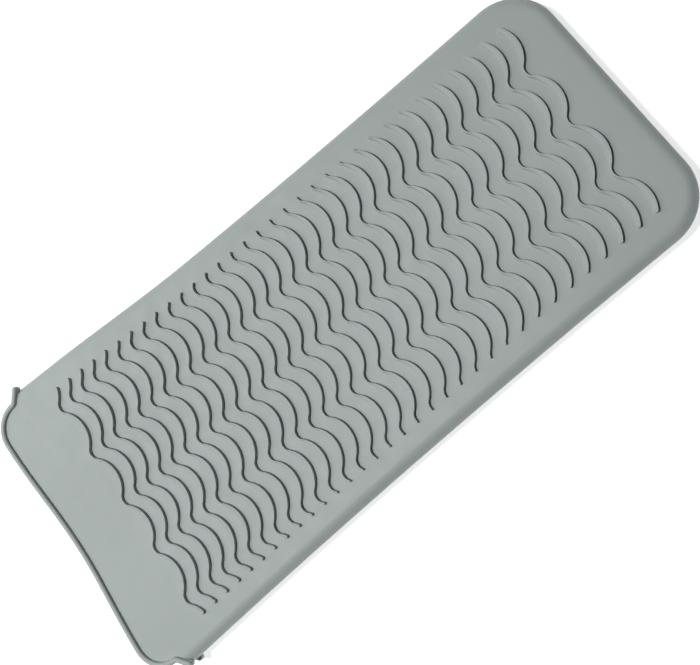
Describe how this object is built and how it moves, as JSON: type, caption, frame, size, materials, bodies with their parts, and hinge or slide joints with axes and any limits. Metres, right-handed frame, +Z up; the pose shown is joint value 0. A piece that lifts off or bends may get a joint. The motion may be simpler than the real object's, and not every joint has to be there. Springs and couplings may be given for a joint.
{
  "type": "heat-resistant silicone sleeve for a curling iron",
  "caption": "Flat tapered silicone sleeve with wavy ribs on both faces, a beaded open mouth and a rounded closed end, for resting or packing a hot hair tool.",
  "frame": {"origin": "centre of the bounding box, at the level of the surface that the sleeve lies on", "axes": "+X runs from the open mouth to the closed end, +Y across the sleeve to the left of that direction, +Z up out of the front face"},
  "size_m": [0.2956, 0.146, 0.012],
  "materials": {
    "silicone": "matte moulded silicone, cool mid grey"
  },
  "bodies": {
    "section_1": {"front_panel_1": "silicone", "back_panel_1": "silicone", "left_edge_1": "silicone", "right_edge_1": "silicone", "front_ribs_1": "silicone", "back_ribs_1": "silicone", "back_lip": "silicone", "back_lip_bead": "silicone", "front_left_ear": "silicone", "front_right_ear": "silicone", "back_left_ear": "silicone", "back_right_ear": "silicone"},
    "lip": {"front_lip": "silicone", "front_lip_bead": "silicone"},
    "section_2": {"front_panel_2": "silicone", "back_panel_2": "silicone", "left_edge_2": "silicone", "right_edge_2": "silicone", "front_ribs_2": "silicone", "back_ribs_2": "silicone"},
    "section_3": {"front_panel_3": "silicone", "back_panel_3": "silicone", "left_edge_3": "silicone", "right_edge_3": "silicone", "front_ribs_3": "silicone", "back_ribs_3": "silicone"},
    "section_4": {"front_panel_4": "silicone", "back_panel_4": "silicone", "left_edge_4": "silicone", "right_edge_4": "silicone", "front_ribs_4": "silicone", "back_ribs_4": "silicone"},
    "section_5": {"front_panel_5": "silicone", "back_panel_5": "silicone", "left_edge_5": "silicone", "right_edge_5": "silicone", "front_ribs_5": "silicone", "back_ribs_5": "silicone"},
    "section_6": {"front_panel_6": "silicone", "back_panel_6": "silicone", "left_edge_6": "silicone", "right_edge_6": "silicone", "front_ribs_6": "silicone", "back_ribs_6": "silicone", "closed_end_edge": "silicone"}
  },
  "joints": [
    {"name": "lip_lift", "type": "hinge", "parent": "section_1", "child": "lip", "pos_m": [-0.13375, 0, 0.0105], "axis": [0, 1, 0], "range_deg": [0, 50], "stiffness_Nm_per_rad": 0.01},
    {"name": "bend_1", "type": "hinge", "parent": "section_1", "child": "section_2", "pos_m": [-0.07702, 0, 0.0105], "axis": [0, -1, 0], "range_deg": [0, 40], "stiffness_Nm_per_rad": 0.05},
    {"name": "bend_2", "type": "hinge", "parent": "section_2", "child": "section_3", "pos_m": [-0.03202, 0, 0.0105], "axis": [0, -1, 0], "range_deg": [0, 40], "stiffness_Nm_per_rad": 0.05},
    {"name": "bend_3", "type": "hinge", "parent": "section_3", "child": "section_4", "pos_m": [0.01298, 0, 0.0105], "axis": [0, -1, 0], "range_deg": [0, 40], "stiffness_Nm_per_rad": 0.05},
    {"name": "bend_4", "type": "hinge", "parent": "section_4", "child": "section_5", "pos_m": [0.05797, 0, 0.0105], "axis": [0, -1, 0], "range_deg": [0, 40], "stiffness_Nm_per_rad": 0.05},
    {"name": "bend_5", "type": "hinge", "parent": "section_5", "child": "section_6", "pos_m": [0.10297, 0, 0.0105], "axis": [0, -1, 0], "range_deg": [0, 40], "stiffness_Nm_per_rad": 0.05}
  ]
}
